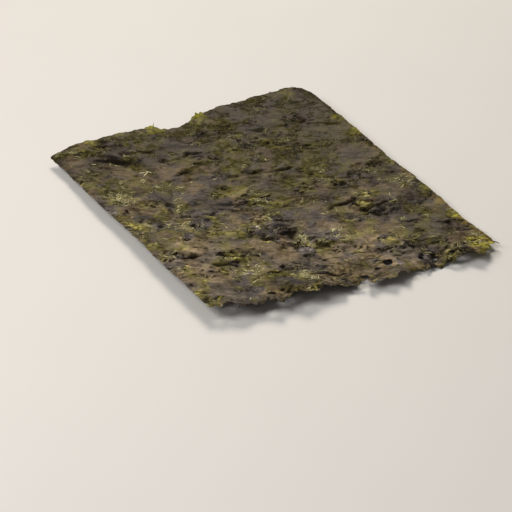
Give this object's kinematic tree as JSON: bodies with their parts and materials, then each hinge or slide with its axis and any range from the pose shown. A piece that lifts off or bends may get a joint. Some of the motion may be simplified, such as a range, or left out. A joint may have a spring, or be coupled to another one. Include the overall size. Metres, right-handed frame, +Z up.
{
  "type": "nori sheet",
  "caption": "Square of roasted seaweed: a thin, wavy, dark sheet of pressed laver with cut edges, one ragged lacy edge and curled corners, for wrapping or topping food.",
  "frame": {"origin": "under the middle of the sheet's box, on the table it lies on", "axes": "+X along the ragged front edge, +Y from the ragged edge to the back edge, +Z up out of the sheet's shown face"},
  "size_m": [0.0952, 0.1172, 0.0058],
  "materials": {
    "laver": "satin, mottled olive and grey brown"
  },
  "bodies": {
    "root": {"nori_sheet": "laver"}
  },
  "joints": []
}
